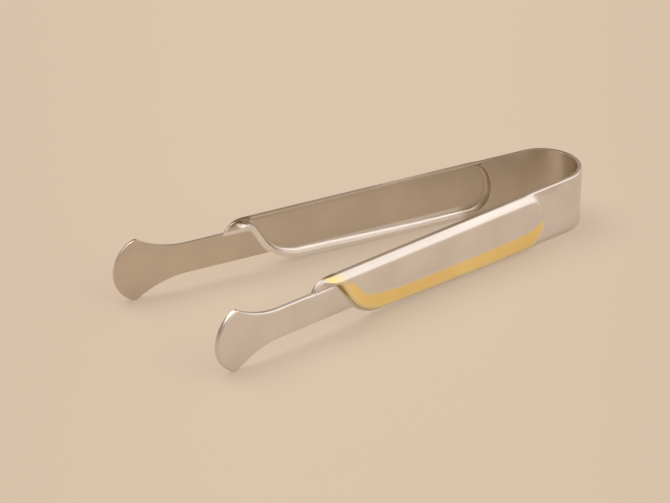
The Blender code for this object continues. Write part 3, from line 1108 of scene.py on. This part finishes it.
def round_place(index, step, lift):
    """Place on the round of the outer edge beside a border point, lifted off the steel."""
    angle = math.pi / 2 * step / ROUND_STEPS
    radius = edge_rounds[index]
    away = radius - (radius + lift) * math.cos(angle)
    u, z = inset([edge[index]], [edge_across[index]], [away])[0]
    return u, SHEET / 2 - radius + (radius + lift) * math.sin(angle), z


def round_faces():
    """Quads that carry the gold over the edge round on top of the horn."""
    sides = {pair for face in gold_faces for pair in zip(face, face[1:] + face[:1])}
    found = []
    for index in range(inner_start, outer_start):
        if not sides & {(index, index + 1), (index + 1, index)}:
            continue
        for step in range(1, ROUND_STEPS):
            ring = [(index, step), (index, step + 1), (index + 1, step + 1), (index + 1, step)]
            names = [spot[0] if spot[1] == ROUND_STEPS else spot for spot in ring]
            found.append(names[::-1])
    return found


# %% Gilding
GOLD = (1.0, 0.765, 0.315)
# Painted shade: tone of the thin brown line above the flank.
GOLD_LINE_PAINTED_SHADE = (0.55, 0.55, 0.7)
# Painted highlight: tone of the pale band above the flank.
GOLD_PAINTED_HIGHLIGHT = (1.0, 1.16, 1.7)
COAT_FROM = 0.004
COAT_TO = 0.02


def gilding(name):
    """Gold with a painted brown line of shade and a painted pale highlight above the flank, and
    steel where it runs out.
    """
    finish = satin_steel(name, GOLD, 0.30)
    tree = finish.node_tree
    shader = tree.nodes["Principled BSDF"]
    colour = shader.inputs["Base Color"].links[0].from_socket
    past = minus(tree, stored(tree, "foot"), GOLD_INSET)
    # Painted shade: a thin brown line right above the flank.
    line = minus(tree, 1.0, ramp(tree, past, 0.08, 0.3))
    # Painted highlight: a pale band just inside the brown line.
    pale = times(tree, ramp(tree, past, 0.1, 0.4), ramp(tree, past, 1.5, 0.6))
    colour = toned(tree, colour, (line, GOLD_LINE_PAINTED_SHADE), (pale, GOLD_PAINTED_HIGHLIGHT))
    full = ramp(tree, stored(tree, "plated"), 0.0, 1.0)
    feed(tree, shader.inputs["Base Color"], mixed(tree, full, STEEL, colour))
    return finish


# %% Coats
def coat_place(name, lift):
    """Place of a point of the coat, above a point of the sheet or of its edge round."""
    if isinstance(name, tuple):
        return round_place(*name, lift)
    u, z = sheet_points[name]
    return u, SHEET / 2 + lift, z


def gold_coat(name):
    """Closed thin coat over the gilded triangles."""
    shape = bmesh.new()
    faces = gold_faces + round_faces()
    corners = dict.fromkeys(corner for face in faces for corner in face)
    low = {corner: shape.verts.new(coat_place(corner, COAT_FROM)) for corner in corners}
    high = {corner: shape.verts.new(coat_place(corner, COAT_TO)) for corner in corners}
    sides = {}
    for face in faces:
        shape.faces.new([low[corner] for corner in face])
        shape.faces.new([high[corner] for corner in reversed(face)])
        for pair in zip(face, list(face[1:]) + [face[0]]):
            sides[pair] = True
    for a, b in sides:
        if (b, a) not in sides:
            shape.faces.new((low[a], high[a], high[b], low[b]))
    mesh = bpy.data.meshes.new(name)
    shape.to_mesh(mesh)
    shape.free()
    return mesh


coat = gold_coat("coat")
mark_blank(coat)
gold = gilding("gilding")
for side, word in ((-1, "right"), (1, "left")):
    piece = press_piece(f"{word}_gilded_border", coat.copy(), side, gold)
    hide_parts(f"{word}_gilding")
    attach(piece, word)
    print(f"{piece.name}: {len(piece.data.vertices)} vertices")

# %% [markdown]
# ## Table and light
# The tongs lie on a smooth sheet of warm beige paper that fills the picture, with painted shade
# that makes it a little darker towards the sides. Polished steel shows what is round it, so the
# sky matters more than the lamp: a wide bright zone, high on the right, shines on the upper
# shoulders. One soft box above and behind gives faint shadows. The paper keeps part of its
# brightness in them, because light comes back from all sides in a small studio.

# %% Floor
PAPER = (0.677, 0.55, 0.426)
# Painted shade: share of the paper's colour kept at its sides.
PAPER_EDGE_SHADE = 0.95
PAPER_HALF = 3.0
ACROSS_VIEW = (0.81, -0.59, 0.0)
FLOOR_GLOW = 0.52
MIRRORED_GLOW = 0.5


def along(tree, place, direction):
    """How far a place lies along a direction."""
    inputs = {0: place, 1: direction}
    return made(tree, "ShaderNodeVectorMath", inputs, "Value", operation="DOT_PRODUCT")


def shared(tree, share, first, second, target):
    """Sends a mix of two shaders to an output."""
    inputs = {0: share, 1: first.outputs[0], 2: second.outputs[0]}
    feed(tree, target, made(tree, "ShaderNodeMixShader", inputs))


def paper(name, colour):
    """Matt paper that keeps part of its brightness where a shadow falls on it."""
    finish, tree, shader = new_finish(name)
    place = tree.nodes.new("ShaderNodeTexCoord").outputs["Object"]
    aside = maths(tree, "ABSOLUTE", along(tree, place, ACROSS_VIEW))
    # Painted shade: the colour darkens towards the sides.
    shade = mixed(tree, ramp(tree, aside, 0.02, 0.1), colour, bright(colour, PAPER_EDGE_SHADE))
    feed(tree, shader.inputs["Base Color"], shade)
    feed(tree, shader.inputs["Roughness"], 0.9)
    feed(tree, shader.inputs["Specular IOR Level"], 0.1)
    lit = tree.nodes.new("ShaderNodeEmission")
    feed(tree, lit.inputs["Color"], shade)
    path = tree.nodes.new("ShaderNodeLightPath")
    mirrored = times(tree, path.outputs["Is Glossy Ray"], MIRRORED_GLOW)
    seen = times(tree, path.outputs["Is Camera Ray"], FLOOR_GLOW)
    surface = tree.nodes["Material Output"].inputs["Surface"]
    shared(tree, maths(tree, "MAXIMUM", seen, mirrored), shader, lit, surface)
    return finish


ground = bpy.data.meshes.new("floor")
corners = [(x * PAPER_HALF, y * PAPER_HALF, 0) for x, y in ((-1, -1), (1, -1), (1, 1), (-1, 1))]
ground.from_pydata(corners, [], [(0, 1, 2, 3)])
floor = bpy.data.objects.new("floor", ground)
floor.data.materials.append(paper("beige_paper", PAPER))
bpy.context.collection.objects.link(floor)
print("paper, m:", 2 * PAPER_HALF)

# %% Sky
LIGHT_WAY = (0.6, -0.45, 0.66)
ZONE_FROM = 0.52
ZONE_TO = 0.80
SKY_DARK = (0.34, 0.26, 0.19)
SKY_BRIGHT = (1.33, 1.20, 1.11)
world = bpy.data.worlds.new("sky")
bpy.context.scene.world = world
world.use_nodes = True
sky = world.node_tree
backdrop = sky.nodes["Background"]
backdrop.inputs["Color"].default_value = (*PAPER, 1.0)
way = sky.nodes.new("ShaderNodeTexCoord").outputs["Generated"]
zone = ramp(sky, along(sky, way, LIGHT_WAY), ZONE_FROM, ZONE_TO)
glow = sky.nodes.new("ShaderNodeBackground")
feed(sky, glow.inputs["Color"], mixed(sky, zone, SKY_DARK, SKY_BRIGHT))
seen = sky.nodes.new("ShaderNodeLightPath").outputs["Is Camera Ray"]
shared(sky, seen, glow, backdrop, sky.nodes["World Output"].inputs["Surface"])
print(f"{world.name}: {len(sky.nodes)} nodes")

# %% Lamp
LAMP_PLACE = (-0.35, 0.55, 1.24)
LAMP_WIDTH = 1.1
LAMP_POWER = 11.0


def soft_box(name, place, size, power):
    """A square white lamp that faces the tongs."""
    data = bpy.data.lights.new(name, "AREA")
    data.shape = "SQUARE"
    data.size = size
    data.energy = power
    box = bpy.data.objects.new(name, data)
    bpy.context.collection.objects.link(box)
    box.location = place
    box.rotation_euler = (-Vector(place)).to_track_quat("-Z", "Y").to_euler()


soft_box("top_box", LAMP_PLACE, LAMP_WIDTH, LAMP_POWER)
print(f"lamp of {LAMP_POWER} W, {LAMP_WIDTH} m wide")

# %% [markdown]
# ## Camera
# The camera stands a little over a metre away and looks down on the tongs from the front left.
# A long lens keeps the far jaw nearly as large as the near one. Its place, turn and lens were
# found by matching measured points of the tongs.

# %% Camera
LOOK_AT = (-0.00104, 0.01282, 0.0)
EYE_DISTANCE = 1.1134
AZIMUTH = 36.02
ELEVATION = 27.94
ROLL = 1.014
LENS = 271.7


def camera(target, distance, angles, lens):
    """A camera that looks at a target from a distance, turned about its own axis."""
    a, e, r = (math.radians(value) for value in angles)
    back = Vector((-math.sin(a) * math.cos(e), -math.cos(a) * math.cos(e), math.sin(e)))
    right = (-back).cross(Vector((0, 0, 1))).normalized()
    up = right.cross(-back)
    across = right * math.cos(r) + up * math.sin(r)
    above = up * math.cos(r) - right * math.sin(r)
    data = bpy.data.cameras.new("camera")
    data.lens = lens
    data.sensor_width = 36.0
    data.clip_start = 0.05
    eye = bpy.data.objects.new("camera", data)
    bpy.context.collection.objects.link(eye)
    turn = Matrix((across, above, back)).transposed().to_4x4()
    eye.matrix_world = Matrix.Translation(Vector(target) + back * distance) @ turn
    return eye


bpy.context.scene.camera = camera(LOOK_AT, EYE_DISTANCE, (AZIMUTH, ELEVATION, ROLL), LENS)
bpy.context.scene.view_settings.view_transform = "Standard"
print(f"camera {EYE_DISTANCE} m away with a lens of {LENS} mm")
